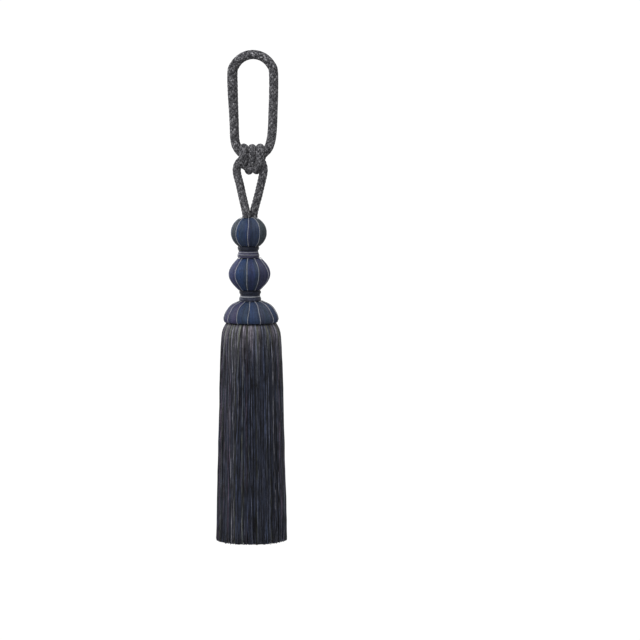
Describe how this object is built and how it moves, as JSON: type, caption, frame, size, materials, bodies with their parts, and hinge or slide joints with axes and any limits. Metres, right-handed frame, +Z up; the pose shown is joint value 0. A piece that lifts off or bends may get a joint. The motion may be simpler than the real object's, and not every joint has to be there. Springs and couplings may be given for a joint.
{
  "type": "curtain tieback tassel",
  "caption": "Hanging curtain tieback tassel: knotted braided rope loop, turned yarn-covered balls and bell, and a long cut skirt.",
  "frame": {"origin": "highest point of the rope loop, where the tassel hangs", "axes": "+Z up along the hanging tassel, -Y towards the front, +X to the right seen from the front"},
  "size_m": [0.0662, 0.0664, 0.458],
  "materials": {
    "rope": "matt charcoal heather braid",
    "head_yarn": "satin navy yarn laid side by side",
    "collar_yarn": "satin navy and grey yarn wound round",
    "skirt_yarn": "soft mixed navy, charcoal and taupe yarn"
  },
  "bodies": {
    "root": {"rope_loop": "rope", "rope_knot": "rope", "rope_leg_left": "rope", "rope_leg_right": "rope", "upper_ball": "head_yarn", "upper_collar": "collar_yarn", "lower_ball": "head_yarn", "lower_collar": "collar_yarn", "bell": "head_yarn", "skirt": "skirt_yarn"}
  },
  "joints": []
}
